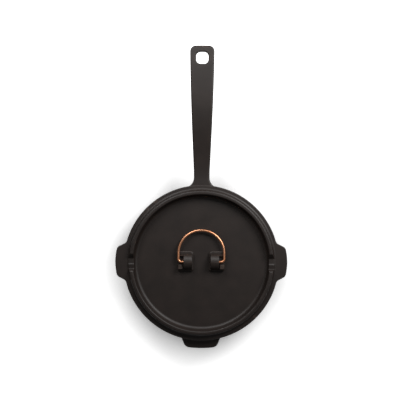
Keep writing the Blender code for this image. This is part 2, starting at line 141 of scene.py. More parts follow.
def spun(wire, steps):
    """Spins a wire in the XZ plane once round Z."""
    geom = wire.verts[:] + wire.edges[:]
    bmesh.ops.spin(
        wire, geom=geom, cent=(0, 0, 0), axis=(0, 0, 1), angle=2 * math.pi, steps=steps, use_merge=True
    )
    bmesh.ops.remove_doubles(wire, verts=wire.verts, dist=SAME_PLACE)
    return wire


spun(bowl_shape, BOWL_STEPS)
print("Spun bowl:", len(bowl_shape.faces), "faces")

# %% [markdown]
# The pour spouts
#
# On the left and the right the rim is drawn out into a lip to pour from, which here lies under an ear
# of the lid. A lip could be made apart and joined on, which leaves a seam. On the casting it is the
# same wall, so the bowl's own points are moved: most at the rim, less down the wall and to the sides.

# %% Sizes of the spouts
CROSS_LINE = 0.001
SPOUT_REACH = 0.0076
SPOUT_HALF_WIDTH = 0.0176
SPOUT_DEPTH = 0.022
SPOUT_DIP = 0.0028

print("Spouts reach", round(1000 * SPOUT_REACH, 1), "mm past the rim")


# %% Draw the spouts out
def smooth_step(value):
    """Runs from 0 to 1, level at both ends."""
    value = min(1.0, max(0.0, value))
    return value * value * (3 - 2 * value)


def pull_out_spouts(shape):
    for vertex in shape.verts:
        place = vertex.co
        across = abs(place.y - CROSS_LINE) / SPOUT_HALF_WIDTH
        if across >= 1:
            continue
        share = smooth_step((place.z - PAN_HEIGHT + SPOUT_DEPTH) / SPOUT_DEPTH)
        share *= (1 - across**4) ** 2
        place.x += math.copysign(SPOUT_REACH * share, place.x)
        place.z -= SPOUT_DIP * share


def added(name, shape):
    """An object from a shape, with its normals facing out."""
    bmesh.ops.recalc_face_normals(shape, faces=shape.faces)
    mesh = bpy.data.meshes.new(name)
    shape.to_mesh(mesh)
    shape.free()
    piece = bpy.data.objects.new(name, mesh)
    bpy.context.scene.collection.objects.link(piece)
    return piece


pull_out_spouts(bowl_shape)
bowl = added("pan_bowl", bowl_shape)
print("pan_bowl:", len(bowl.data.polygons), "faces")

# %% [markdown]
# Bars that leave the rim
#
# The handle and the helper grip are flat bars with rounded edges, which leave the rim band with a
# fillet on each side. They could be bent boxes, but their outline in plan changes all the way along.
# So the outline is drawn first, raised into a short straight bar with round rims, cut across every
# few millimetres, and only then bent: each cut is moved to the height and thickness at its place.

# %% Sizes that both bars share
TONGUE_TOP_BELOW_RIM = 0.001
TONGUE_EDGE = 0.0016
TONGUE_EDGE_SEGMENTS = 5
TONGUE_TUCK = 0.0045
TONGUE_ROOT_LENGTH = 0.003
TONGUE_FLAT = 3 * TONGUE_EDGE
TONGUE_CUT = 0.002
TONGUE_LAST_CUT = 0.001
LUG_LEAD = 0.0025
ON_PLANE = 1e-7

print("Bars are rounded by", round(1000 * TONGUE_EDGE, 1), "mm along their edges")


# %% Outlines and how they are raised
def flat_outline(corners, segments=6):
    """A filled face at z 0 through corners (x, y, radius)."""
    places = [((x, y, 0.0), radius) for x, y, radius in corners]
    wire = run_of_corners(places, closed=True, segments=segments)
    bmesh.ops.contextual_create(wire, geom=wire.edges[:])
    return wire


def raised(shape, height, edge, segments=4):
    """Extrudes a flat outline upwards by height, and rounds both its rims by edge."""
    made = bmesh.ops.extrude_face_region(shape, geom=shape.faces[:])
    moved = [part for part in made["geom"] if isinstance(part, bmesh.types.BMVert)]
    bmesh.ops.translate(shape, verts=moved, vec=(0, 0, height))
    bmesh.ops.recalc_face_normals(shape, faces=shape.faces)
    rims = [e for e in shape.edges if abs(e.verts[0].co.z - e.verts[1].co.z) < SAME_PLACE]
    bmesh.ops.bevel(
        shape, geom=rims, offset=edge, offset_type="OFFSET", affect="EDGES",
        segments=segments, profile=0.5, clamp_overlap=False, material=-1,
    )
    return shape


def lug_root(circle_radius, half_width, fillet):
    """Corners (side, out, radius) where a lug leaves a circle: one past the fillet, and the filleted one."""
    start = math.asin(half_width / circle_radius)
    past = start + (fillet + LUG_LEAD) / circle_radius
    return [
        (circle_radius * math.sin(past), circle_radius * math.cos(past), 0.0),
        (circle_radius * math.sin(start), circle_radius * math.cos(start), fillet),
    ]


# %% A bar from its sides
def tongue_outline(side_points, root_fillet, end_corner, end_bow):
    """The edge of a bar in plan, from its right side's points (side, out), as a filled face at z 0."""
    past, root = lug_root(RIM_RADIUS, side_points[0][0], root_fillet)
    tip = side_points[-1]
    right = [(past[0], RIM_RADIUS - TONGUE_TUCK - TONGUE_ROOT_LENGTH, 0.0), past, root]
    right += [(side, out, 0.0) for side, out in side_points[1:-1]]
    right += [(tip[0], tip[1], end_corner), (tip[0] / 2, tip[1] + 0.75 * end_bow, 0.0)]
    left = [(-side, out, radius) for side, out, radius in reversed(right)]
    return flat_outline(right + [(0.0, tip[1] + end_bow, 0.0)] + left)


def tongue(name, outline, top, thickness):
    """Raises the outline, cuts it across, and bends it to top(out) and thickness(out)."""
    bar = raised(outline, TONGUE_FLAT, TONGUE_EDGE, segments=TONGUE_EDGE_SEGMENTS)
    end = max(vertex.co.y for vertex in bar.verts)
    place = RIM_RADIUS
    while place < end - TONGUE_LAST_CUT:
        bmesh.ops.bisect_plane(
            bar, geom=bar.verts[:] + bar.edges[:] + bar.faces[:], dist=ON_PLANE,
            plane_co=(0, place, 0), plane_no=(0, 1, 0),
        )
        place += TONGUE_CUT
    for vertex in bar.verts:
        out = vertex.co.y
        if vertex.co.z > TONGUE_FLAT / 2:
            vertex.co.z += top(out) - TONGUE_FLAT
        else:
            vertex.co.z += top(out) - thickness(out)
    return added(name, bar)


# %% [markdown]
# The handle
#
# The handle widens towards its end, climbs away from the rim, and is thickest at its root, where it
# carries the load. The climb could be a circle's arc. The real one leaves the rim level, rises early
# and flattens towards the tip, so its height follows a curve whose slope is 12 s (1 - s) squared:
# level at both ends, and steepest a third of the way along.

# %% Sizes of the handle
HANDLE_END = 0.2166
HANDLE_ROOT_WIDTH = 0.0154
HANDLE_FLARE = 0.0091
HANDLE_FLARE_POWER = 1.5
HANDLE_ROOT_FILLET = 0.010
HANDLE_END_CORNER = 0.0056
HANDLE_END_BOW = 0.0003
HANDLE_THICKNESS = 0.007
HANDLE_ROOT_EXTRA = 0.002
HANDLE_ROOT_EXTRA_LENGTH = 0.030
HANDLE_RISE = 0.0108
HANDLE_STEPS = 24
RISE_START = 0.084
RISE_END = 0.183
TIP_DROOP = 0.001

print("Handle:", round(1000 * (HANDLE_ROOT_WIDTH + HANDLE_FLARE), 1), "mm wide at its end")


# %% Make the handle
def handle_top(out):
    share = min(1.0, max(0.0, (out - RISE_START) / (RISE_END - RISE_START)))
    climb = HANDLE_RISE * (6 * share**2 - 8 * share**3 + 3 * share**4)
    droop = TIP_DROOP * (max(0.0, out - RISE_END) / (HANDLE_END - RISE_END)) ** 2
    return PAN_HEIGHT - TONGUE_TOP_BELOW_RIM + climb - droop


def handle_thickness(out):
    near_root = 1 - smooth_step((out - RIM_RADIUS) / HANDLE_ROOT_EXTRA_LENGTH)
    return HANDLE_THICKNESS + HANDLE_ROOT_EXTRA * near_root


def handle_sides():
    """Points (side, out) along the right side. The last but one is left out, to make room for the corner."""
    end = HANDLE_END - HANDLE_END_BOW
    start = RIM_RADIUS + HANDLE_ROOT_FILLET
    sides = [(HANDLE_ROOT_WIDTH / 2, RIM_RADIUS)]
    for step in range(1, HANDLE_STEPS + 1):
        share = step / HANDLE_STEPS
        width = HANDLE_ROOT_WIDTH + HANDLE_FLARE * (1 - (1 - share) ** HANDLE_FLARE_POWER)
        sides.append((width / 2, start + (end - start) * share))
    return sides[:-2] + sides[-1:]


handle_outline = tongue_outline(handle_sides(), HANDLE_ROOT_FILLET, HANDLE_END_CORNER, HANDLE_END_BOW)
handle = tongue("pan_handle", handle_outline, handle_top, handle_thickness)
print("pan_handle:", len(handle.data.polygons), "faces before the hole")

# %% [markdown]
# The hang hole
#
# The hole near the handle's end is a square with large corners, and its rims are rounded by the
# casting. It could be cut sharp and bevelled afterwards, but the edges that a cut leaves are uneven
# and bevel badly. So the cutter has the rounding in it: a post that flares out at both faces of the
# handle. Its rings are extruded one from the next, and it follows the slope of the handle's top.

# %% Sizes of the hang hole
HOLE_SIZE = 0.0122
HOLE_CORNER = 0.0043
HOLE_EDGE = 0.0011
HOLE_EDGE_STEPS = 6
HOLE_MIDDLE = 0.2043

print("Hang hole:", round(1000 * HOLE_SIZE, 1), "mm across")


# %% Rings of edges
def next_ring(shape, ring):
    """Extrudes a ring of edges in place and gives the new ring, which is then moved or scaled."""
    made = bmesh.ops.extrude_edge_only(shape, edges=ring)["geom"]
    return [part for part in made if isinstance(part, bmesh.types.BMEdge) and part.is_boundary]


def ring_verts(ring):
    return list({vert for edge in ring for vert in edge.verts})


def capped(shape, *rings):
    for ring in rings:
        bmesh.ops.contextual_create(shape, geom=ring)
    return shape


def square_corners(half):
    return [(-half, -half), (half, -half), (half, half), (-half, half)]


# %% Cut the hang hole
def hole_levels():
    """Levels (height from the handle's top, flare) of the cutter, from below the bar to above it."""
    turns = [math.radians(90 / HOLE_EDGE_STEPS * step) for step in range(HOLE_EDGE_STEPS + 1)]
    levels = [(-HANDLE_THICKNESS - 2 * HOLE_EDGE, HOLE_EDGE)]
    for turn in turns:
        up = HOLE_EDGE * (1 - math.cos(turn))
        levels.append((-HANDLE_THICKNESS + up, HOLE_EDGE * (1 - math.sin(turn))))
    for turn in turns:
        down = HOLE_EDGE * (1 - math.sin(turn))
        levels.append((-down, HOLE_EDGE * (1 - math.cos(turn))))
    return levels + [(2 * HOLE_EDGE, HOLE_EDGE)]


def make_hole_cutter():
    half = HOLE_SIZE / 2
    places = [((x, y, 0.0), HOLE_CORNER) for x, y in square_corners(half)]
    post = run_of_corners(places, closed=True)
    first = ring = post.edges[:]
    size, height = half, 0.0
    for level, flare in hole_levels():
        ring = next_ring(post, ring) if height else ring
        grown = (half + flare) / size
        bmesh.ops.scale(post, vec=(grown, grown, 1.0), verts=ring_verts(ring))
        bmesh.ops.translate(post, vec=(0, 0, level - height), verts=ring_verts(ring))
        size, height = half + flare, level
    for vertex in post.verts:
        vertex.co.y += HOLE_MIDDLE
        vertex.co.z += handle_top(vertex.co.y)
    return added("hole_cutter", capped(post, first, ring))


def settled(piece):
    """Makes a piece's modifiers real."""
    bpy.context.view_layer.update()
    graph = bpy.context.evaluated_depsgraph_get()
    piece.data = bpy.data.meshes.new_from_object(piece.evaluated_get(graph))
    piece.modifiers.clear()
    return piece


def cut(piece, cutter):
    """Takes the cutter's shape out of the piece."""
    boolean = piece.modifiers.new("cut", "BOOLEAN")
    boolean.operation = "DIFFERENCE"
    boolean.solver = "EXACT"
    boolean.object = cutter
    settled(piece)
    bpy.data.objects.remove(cutter, do_unlink=True)
    return piece


cut(handle, make_hole_cutter())
print("pan_handle:", len(handle.data.polygons), "faces with the hole")

# %% [markdown]
# The helper grip
#
# Opposite the handle is a short grip for the other hand. It narrows a little, has large corners, and
# slopes down gently. It is a bar of the same kind, so it could be a scaled copy of the handle, but
# that would scale its rounded edges too. It is made with its own sizes, and turned to the front.

# %% Sizes of the grip
GRIP_END = 0.0862
GRIP_ROOT_WIDTH = 0.040
GRIP_END_WIDTH = 0.0314
GRIP_ROOT_FILLET = 0.004
GRIP_END_CORNER = 0.006
GRIP_END_BOW = 0.0012
GRIP_THICKNESS = 0.006
GRIP_SLOPE = 0.10

print("Grip ends", round(1000 * (GRIP_END - RIM_RADIUS), 1), "mm past the rim")


# %% Make the grip
def grip_top(out):
    return PAN_HEIGHT - TONGUE_TOP_BELOW_RIM - GRIP_SLOPE * max(0.0, out - RIM_RADIUS)


def grip_thickness(_out):
    return GRIP_THICKNESS


grip_sides = [(GRIP_ROOT_WIDTH / 2, RIM_RADIUS), (GRIP_END_WIDTH / 2, GRIP_END - GRIP_END_BOW)]
grip_outline = tongue_outline(grip_sides, GRIP_ROOT_FILLET, GRIP_END_CORNER, GRIP_END_BOW)
grip = tongue("pan_grip", grip_outline, grip_top, grip_thickness)
grip.data.transform(Matrix.Rotation(math.pi, 4, "Z"))
print("pan_grip:", len(grip.data.polygons), "faces")

# %% [markdown]
# The lid
#
# The lid is one casting: a flat flange with an ear over each spout, a raised ring, a sunken well, and
# a plug underneath that drops into the pan. It could be a spun disc joined to two ears by a Boolean,
# but their faces nearly touch, and that join is fragile. So the flange's edge is raised from its
# outline, the round middle is spun as an upper and a lower surface, and flat rings join them.

# %% Sizes of the lid
SEAT_GAP = 0.0003
LID_BASE = PAN_HEIGHT + SEAT_GAP
FLANGE_RADIUS = 0.0776
FLANGE_THICKNESS = 0.004
FLANGE_EDGE = 0.0008
LID_PLATE = 0.004
WELL_RADIUS = 0.0665
WELL_DEPTH = 0.0038
WELL_FILLET = 0.0036
RING_INNER_RADIUS = 0.0682
RING_OUTER_RADIUS = 0.0719
RING_FOOT_RADIUS = 0.07255
RING_HEIGHT = 0.005
RING_EDGE = 0.0016
RING_INNER_EDGE = 0.0011
RING_FOOT_FILLET = 0.0025
PLUG_RADIUS = 0.0702
PLUG_EDGE = 0.001

LAND = LID_BASE + FLANGE_THICKNESS
CREST = LAND + RING_HEIGHT
WELL = LAND - WELL_DEPTH
LAND_START = RING_FOOT_RADIUS + RING_FOOT_FILLET

print("Lid: land at", round(1000 * LAND, 1), "mm, crest at", round(1000 * CREST, 1), "mm")

# %% Outline of the flange
EAR_REACH = 0.0859
EAR_ROOT_WIDTH = 0.0378
EAR_END_WIDTH = 0.0292
EAR_CORNER = 0.0045
EAR_ROOT_FILLET = 0.0045
EAR_END_RADIUS = 0.056
EAR_END_SHARES = (1.0, 0.75, 0.5, 0.25)
ROUND_STEP = math.radians(1.5)


def ear_outline():
    """Corners (x, y, radius) of the right ear, going anticlockwise."""
    lean = math.asin(EAR_END_WIDTH / 2 / EAR_END_RADIUS)
    corners = []
    for turn in (-1, 1):
        half_width = EAR_ROOT_WIDTH / 2 + turn * CROSS_LINE
        past, root = lug_root(FLANGE_RADIUS, half_width, EAR_ROOT_FILLET)
        run = [(past[1], turn * past[0], 0.0), (root[1], turn * root[0], root[2])]
        for share in EAR_END_SHARES:
            x = EAR_REACH - EAR_END_RADIUS * (1 - math.cos(lean * share))
            y = CROSS_LINE + turn * EAR_END_RADIUS * math.sin(lean * share)
            run.append((x, y, EAR_CORNER if share == 1.0 else 0.0))
        corners += run if turn < 0 else [(EAR_REACH, CROSS_LINE, 0.0)] + run[::-1]
    return corners


def round_side(first, last):
    """Points of the flange's circle between two corners, going anticlockwise."""
    start = math.atan2(first[1], first[0])
    turn = (math.atan2(last[1], last[0]) - start) % (2 * math.pi)
    steps = round(turn / ROUND_STEP)
    angles = [start + turn * step / steps for step in range(1, steps)]
    return [(FLANGE_RADIUS * math.cos(a), FLANGE_RADIUS * math.sin(a), 0.0) for a in angles]


right_ear = ear_outline()
left_ear = [(-x, y, radius) for x, y, radius in reversed(right_ear)]
flange_corners = right_ear + round_side(right_ear[-1], left_ear[0])
flange_corners += left_ear + round_side(left_ear[-1], right_ear[0])
print("Flange:", len(flange_corners), "corners,", round(2000 * EAR_REACH, 1), "mm over the ears")

# %% Edge of the flange
FLAT_CORNERS = 100

lid_shape = raised(flat_outline(flange_corners), FLANGE_THICKNESS, FLANGE_EDGE)
bmesh.ops.translate(lid_shape, verts=lid_shape.verts, vec=(0, 0, LID_BASE))
flats = [face for face in lid_shape.faces if len(face.verts) > FLAT_CORNERS]
bmesh.ops.delete(lid_shape, geom=flats, context="FACES_ONLY")
print("Edge of the flange:", len(lid_shape.faces), "faces once its two flats are open")

# %% Round middle of the lid
LID_STEPS = 480
STEEP = 0.001
SLOPE_CUTS = 4

upper_corners = [
    (0.0, WELL, 0.0),
    (WELL_RADIUS, WELL, WELL_FILLET),
    (RING_INNER_RADIUS, CREST, RING_INNER_EDGE),
    (RING_OUTER_RADIUS, CREST, RING_EDGE),
    (RING_FOOT_RADIUS, LAND, RING_FOOT_FILLET),
    (LAND_START, LAND, 0.0),
]
lower_corners = [
    (PLUG_RADIUS, LID_BASE, 0.0),
    (PLUG_RADIUS, WELL - LID_PLATE, PLUG_EDGE),
    (0.0, WELL - LID_PLATE, 0.0),
]
for corners in (upper_corners, lower_corners):
    wire = half_section(corners)
    steep = [e for e in wire.edges if abs(e.verts[0].co.z - e.verts[1].co.z) > STEEP]
    bmesh.ops.subdivide_edges(wire, edges=steep, cuts=SLOPE_CUTS)
    middle = spun(wire, LID_STEPS)
    mesh = bpy.data.meshes.new("middle")
    middle.to_mesh(mesh)
    middle.free()
    lid_shape.from_mesh(mesh)
    bpy.data.meshes.remove(mesh)
print("Lid with its middle:", len(lid_shape.faces), "faces")

# %% Join the middle to the flange
SAME_LEVEL = 1e-5

for level in (LAND, LID_BASE):
    rims = [e for e in lid_shape.edges if e.is_boundary and abs(e.verts[0].co.z - level) < SAME_LEVEL]
    bmesh.ops.triangle_fill(lid_shape, edges=rims, use_beauty=True, use_dissolve=False)
print("Open edges left on the lid:", sum(e.is_boundary for e in lid_shape.edges))

# %% [markdown]
# The notches
#
# Where the ring meets each ear it dips into a notch, with a short slope at the back and a longer one
# with a small shelf in front. A Boolean could cut it, but the casting has no sharp corner there. So
# the ring is first cut across at every corner of the notch's section, and then every point that
# stands higher than the section is lowered to it. The height is averaged over half a millimetre each
# way, which rounds the corners.

# %% Section of the notches
NOTCH_DEPTH = 0.0043
NOTCH_SECTION = [  # (place across the ear, share of the depth)
    (0.0078, 0.0), (0.0034, 1.0), (-0.0018, 1.0), (-0.0027, 0.89),
    (-0.0074, 0.98), (-0.0083, 0.32), (-0.0098, 0.0),
]
NOTCH_SOFTNESS = 0.0005
NOTCH_REACH = 0.012
SOFT_STEPS = (-1.0, -0.5, 0.0, 0.5, 1.0)
RING_MARGIN = 0.002


def notch_height(across):
    for (back, deep_back), (front, deep_front) in zip(NOTCH_SECTION, NOTCH_SECTION[1:]):
        if back >= across >= front:
            share = (back - across) / (back - front)
            return CREST - NOTCH_DEPTH * (deep_back + (deep_front - deep_back) * share)
    return CREST + NOTCH_SOFTNESS


print("Notch: lowest at", round(1000 * min(notch_height(place) for place, _ in NOTCH_SECTION), 1), "mm")


# %% Sink the notches
def near_notch(place):
    out = math.hypot(place.x, place.y)
    beside = abs(place.y - CROSS_LINE) < NOTCH_REACH
    return beside and place.z > WELL and WELL_RADIUS - RING_MARGIN < out < LAND_START


def score_ring(shape):
    """Cuts the ring across at each corner of the notches, so that they come out crisp."""
    for corner, _ in NOTCH_SECTION:
        for step in SOFT_STEPS:
            faces = [face for face in shape.faces if near_notch(face.calc_center_median())]
            edges = {edge for face in faces for edge in face.edges}
            verts = {vert for face in faces for vert in face.verts}
            place = CROSS_LINE + corner + step * NOTCH_SOFTNESS
            bmesh.ops.bisect_plane(
                shape, geom=[*verts, *edges, *faces], dist=ON_PLANE,
                plane_co=(0, place, 0), plane_no=(0, 1, 0),
            )


def sink_notches(shape):
    for vertex in shape.verts:
        place = vertex.co
        if not near_notch(place) or place.z < LAND:
            continue
        across = place.y - CROSS_LINE
        nearby = [notch_height(across + step * NOTCH_SOFTNESS) for step in SOFT_STEPS]
        over = place.z - sum(nearby) / len(nearby)
        if over > -2 * NOTCH_SOFTNESS:
            place.z -= (over + math.hypot(over, NOTCH_SOFTNESS)) / 2


score_ring(lid_shape)
sink_notches(lid_shape)
lid = added("lid_casting", lid_shape)
print("lid_casting:", len(lid.data.polygons), "faces")

# %% [markdown]
# The bosses
#
# In the well stand two pads. Each carries a bored hump for one pin of the bail, a low shoulder behind
# the pin, and a stub that stops the bail when it has swung over. All of it is cast with the lid, and
# could be joined to it by a Boolean. Each form only stands in the one below it, so separate shapes
# that are sunk a millimetre or two look the same and keep their rounded edges clean.

# %% Sizes of the bosses
PIN_HEIGHT = 0.0052
BARREL_RADIUS = 0.0082
BARREL_HEIGHT = 0.0094
BARREL_INNER = 0.0092
BARREL_OUTER = 0.0178
BARREL_EDGE = 0.0005
SHOULDER_RADIUS = 0.0078
SHOULDER_DEPTH = 0.0018
SHOULDER_OUTER = 0.0212
SHOULDER_OVERLAP = 0.002
BORE_RADIUS = 0.00155
PAD_INNER = 0.0076
PAD_OUTER = 0.0236
PAD_BACK = 0.0107
PAD_FRONT = 0.0092
PAD_HEIGHT = 0.0032
PAD_EDGE = 0.0012
PAD_CORNER = 0.0016
PAD_INNER_CORNER = 0.0036
STUB_WIDTH = 0.0045
STUB_OUTER = 0.0231
STUB_BACK = 0.0028
STUB_HEIGHT = 0.0063
STUB_EDGE = 0.0008
SINK = 0.001
SMALL_SEGMENTS = 3

PIN_LINE = WELL + PIN_HEIGHT

print("Pins at", round(1000 * PIN_LINE, 1), "mm, bores", round(2000 * BORE_RADIUS, 1), "mm across")


# %% Pads and stubs
def side_name(side):
    return "right" if side > 0 else "left"


def make_pad(side):
    corners = [
        (PAD_INNER, -PAD_FRONT, PAD_CORNER), (PAD_OUTER, -PAD_FRONT, PAD_CORNER),
        (PAD_OUTER, PAD_BACK, PAD_CORNER), (PAD_INNER, PAD_BACK, PAD_INNER_CORNER),
    ]
    outline = flat_outline([(side * x, CROSS_LINE + y, radius) for x, y, radius in corners])
    pad = raised(outline, PAD_HEIGHT + 2 * SINK, PAD_EDGE)
    bmesh.ops.translate(pad, verts=pad.verts, vec=(0, 0, WELL - 2 * SINK))
    return added("lid_pad_" + side_name(side), pad)


def make_stub(side):
    half = STUB_WIDTH / 2
    middle = (side * (STUB_OUTER - half), CROSS_LINE - STUB_BACK - half)
    corners = [(middle[0] + x, middle[1] + y, STUB_EDGE) for x, y in square_corners(half)]
    outline = flat_outline(corners, segments=SMALL_SEGMENTS)
    stub = raised(outline, STUB_HEIGHT - PAD_HEIGHT + SINK, STUB_EDGE / 2, segments=SMALL_SEGMENTS)
    bmesh.ops.translate(stub, verts=stub.verts, vec=(0, 0, WELL + PAD_HEIGHT - SINK))
    return added("lid_stub_" + side_name(side), stub)


# %% Humps and shoulders
ARCH_STEPS = 32
BORE_STEPS = 32


def arch(radius, front, inner, outer, side):
    """A hump from inner to outer along X: an arc standing in the pad, from its back over to front."""
    centre = BARREL_HEIGHT - BARREL_RADIUS - PIN_HEIGHT
    foot = PAD_HEIGHT - SINK - PIN_HEIGHT
    start = math.asin((foot - centre) / radius)
    end = math.acos(front / radius)
    turns = [start + (end - start) * step / ARCH_STEPS for step in range(ARCH_STEPS + 1)]
    corners = [(radius * math.cos(turn), centre + radius * math.sin(turn), 0.0) for turn in turns]
    if corners[-1][1] > foot + SAME_LEVEL:
        corners.append((front, foot, 0.0))
    shape = raised(flat_outline(corners), outer - inner, BARREL_EDGE, segments=SMALL_SEGMENTS)
    turn = Matrix(((0, 0, 1), (1, 0, 0), (0, 1, 0))).to_4x4()
    bmesh.ops.transform(shape, matrix=turn, verts=shape.verts)
    shift = inner if side > 0 else -outer
    bmesh.ops.translate(shape, verts=shape.verts, vec=(shift, CROSS_LINE, PIN_LINE))
    return shape


def make_barrel(side):
    foot = PAD_HEIGHT - SINK - BARREL_HEIGHT + BARREL_RADIUS
    front = -math.sqrt(BARREL_RADIUS**2 - foot**2)
    barrel = arch(BARREL_RADIUS, front, BARREL_INNER, BARREL_OUTER, side)
    place = Matrix.Translation((side * BARREL_OUTER, CROSS_LINE, PIN_LINE))
    bore = bmesh.new()
    bmesh.ops.create_cone(
        bore, cap_ends=True, radius1=BORE_RADIUS, radius2=BORE_RADIUS, depth=2 * BARREL_OUTER,
        segments=BORE_STEPS, matrix=place @ Matrix.Rotation(math.pi / 2, 4, "Y"),
    )
    return cut(added("lid_barrel_" + side_name(side), barrel), added("bore_cutter", bore))


def make_shoulder(side):
    front = SHOULDER_RADIUS - SHOULDER_DEPTH
    inner = BARREL_OUTER - SHOULDER_OVERLAP
    shoulder = arch(SHOULDER_RADIUS, front, inner, SHOULDER_OUTER, side)
    return added("lid_shoulder_" + side_name(side), shoulder)


bosses = [make(side) for side in (1, -1) for make in (make_pad, make_barrel, make_shoulder, make_stub)]
print("Bosses:", {boss.name: len(boss.data.polygons) for boss in bosses})

# %% [markdown]
# The bail
#
# The bail is one piece of round wire: two pins turned inwards, short legs and a half circle. It could
# be a curve with a bevel, but a curve's section can turn along the way, and its caps are loose. So a
# ring of edges starts at one pin's end, is drawn straight for each straight run and spun round each
# bend, and the two ends are capped. It lies tilted back, with its wire just above the pads' edges.

# %% Sizes of the bail
WIRE_RADIUS = 0.00125
WIRE_STEPS = 32
BAIL_ARC_RADIUS = 0.02285
BAIL_ARC_STEPS = 96
BAIL_LEG = 0.0086
BAIL_BEND = 0.003
BAIL_BEND_STEPS = 10
BAIL_REST_GAP = 0.0003
PIN_LENGTH_IN_BORE = 0.0070
BAIL_DROOP = math.atan2(PIN_HEIGHT - PAD_HEIGHT - WIRE_RADIUS - BAIL_REST_GAP, PAD_BACK - PAD_EDGE)

print("Bail: tilted back by", round(math.degrees(BAIL_DROOP), 1), "degrees")


# %% Bend the bail
def straight(wire, ring, x, y):
    ring = next_ring(wire, ring)
    bmesh.ops.translate(wire, verts=ring_verts(ring), vec=(x, y, 0))
    return ring


def bend(wire, ring, x, y, angle, steps):
    geom = ring_verts(ring) + ring
    made = bmesh.ops.spin(wire, geom=geom, cent=(x, y, 0), axis=(0, 0, 1), angle=angle, steps=steps)
    return [part for part in made["geom_last"] if isinstance(part, bmesh.types.BMEdge)]


def make_bail():
    wire = bmesh.new()
    pin_end = BARREL_OUTER - PIN_LENGTH_IN_BORE
    bend_x = BAIL_ARC_RADIUS - BAIL_BEND
    start = Matrix.Translation((pin_end, 0, 0)) @ Matrix.Rotation(math.pi / 2, 4, "Y")
    bmesh.ops.create_circle(wire, radius=WIRE_RADIUS, segments=WIRE_STEPS, matrix=start)
    first = wire.edges[:]
    ring = straight(wire, first, bend_x - pin_end, 0)
    ring = bend(wire, ring, bend_x, BAIL_BEND, math.pi / 2, BAIL_BEND_STEPS)
    ring = straight(wire, ring, 0, BAIL_LEG - BAIL_BEND)
    ring = bend(wire, ring, 0, BAIL_LEG, math.pi, BAIL_ARC_STEPS)
    ring = straight(wire, ring, 0, BAIL_BEND - BAIL_LEG)
    ring = bend(wire, ring, -bend_x, BAIL_BEND, math.pi / 2, BAIL_BEND_STEPS)
    ring = straight(wire, ring, bend_x - pin_end, 0)
    capped(wire, first, ring)
    place = Matrix.Translation((0, CROSS_LINE, PIN_LINE)) @ Matrix.Rotation(-BAIL_DROOP, 4, "X")
    bmesh.ops.transform(wire, matrix=place, verts=wire.verts)
    return added("bail_wire", wire)


bail = make_bail()
print("bail_wire:", len(bail.data.polygons), "faces")

# %% [markdown]
# Building a material
#
# Both finishes are built from nodes that read Object coordinates, so their patterns have a size in
# real millimetres and move with the piece. Image textures could do it too, but they need a file and
# an unwrapped surface. One function turns a written colour to linear light, and one adds any node.


# %% Colours and nodes
def linear(hex_colour):
    """An sRGB colour such as "2a2321" as linear RGBA."""
    values = [int(hex_colour[place:place + 2], 16) / 255 for place in (0, 2, 4)]
    values = [v / 12.92 if v <= 0.04045 else ((v + 0.055) / 1.055) ** 2.4 for v in values]
    return (*values, 1.0)


def add_node(tree, kind, inputs=None, **settings):
    """Adds a node with its settings, and gives each named or numbered input a value or a link."""
    node = tree.nodes.new(kind)
    for name, value in settings.items():
        setattr(node, name, value)
    for name, given in (inputs or {}).items():
        if isinstance(given, bpy.types.NodeSocket):
            tree.links.new(given, node.inputs[name])
        else:
            node.inputs[name].default_value = given
    return node


def from_to(value, old, new):
    """What a Map Range node needs to map the old range onto the new one."""
    return {"Value": value, "From Min": old[0], "From Max": old[1], "To Min": new[0], "To Max": new[1]}


def set_stops(ramp, stops):
    for stop, (place, colour) in zip(ramp.color_ramp.elements, stops):
        stop.position = place
        stop.color = linear(colour)


def new_material(name):
    material = bpy.data.materials.new(name)
    material.use_nodes = True
    return material, material.node_tree, material.node_tree.nodes["Principled BSDF"]


print("Middle grey is", round(linear("808080")[0], 3), "in linear light")

# %% [markdown]
# The iron
#
# Sand cast iron is seasoned: oil is rubbed on and baked until it turns into a thin, hard, nearly black
# film. What the eye sees is that film and not bare metal, so the material isn't metallic, and keeps
# an IOR of 1.5, about that of dried oil. A single dark colour would look like plastic. Brown clouds
# show where the film is thicker, a fine grain comes from the sand, and rubbed edges are paler.

# %% Seasoned iron
IRON_DARK = "19110d"
IRON_LIGHT = "221813"
IRON_WORN = "4a3d36"
IRON_STOPS = ((0.25, IRON_DARK), (0.75, IRON_LIGHT))
IRON_ROUGHNESS = (0.48, 0.54)
CLOUD_RANGE = (0.2, 0.8)
# Blotches of the baked film are a finger's width or so across.
CLOUD_SIZE = 0.016
# Moulding sand has grains of about 0.25 mm. A pixel of this picture is 1 mm, so they wouldn't show,
# and the grain is drawn at 1.1 mm, with a real depth of 0.1 mm.
GRAIN_SIZE = 0.0011
GRAIN_DEPTH = 0.0001
GRAIN_STRENGTH = 0.5
# Rubbed edges are broken into patches of about 4 mm, and are a little smoother than the rest.
WEAR_SIZE = 0.004
WEAR_EDGES = (0.52, 0.60)
WEAR_SHINE = 0.12


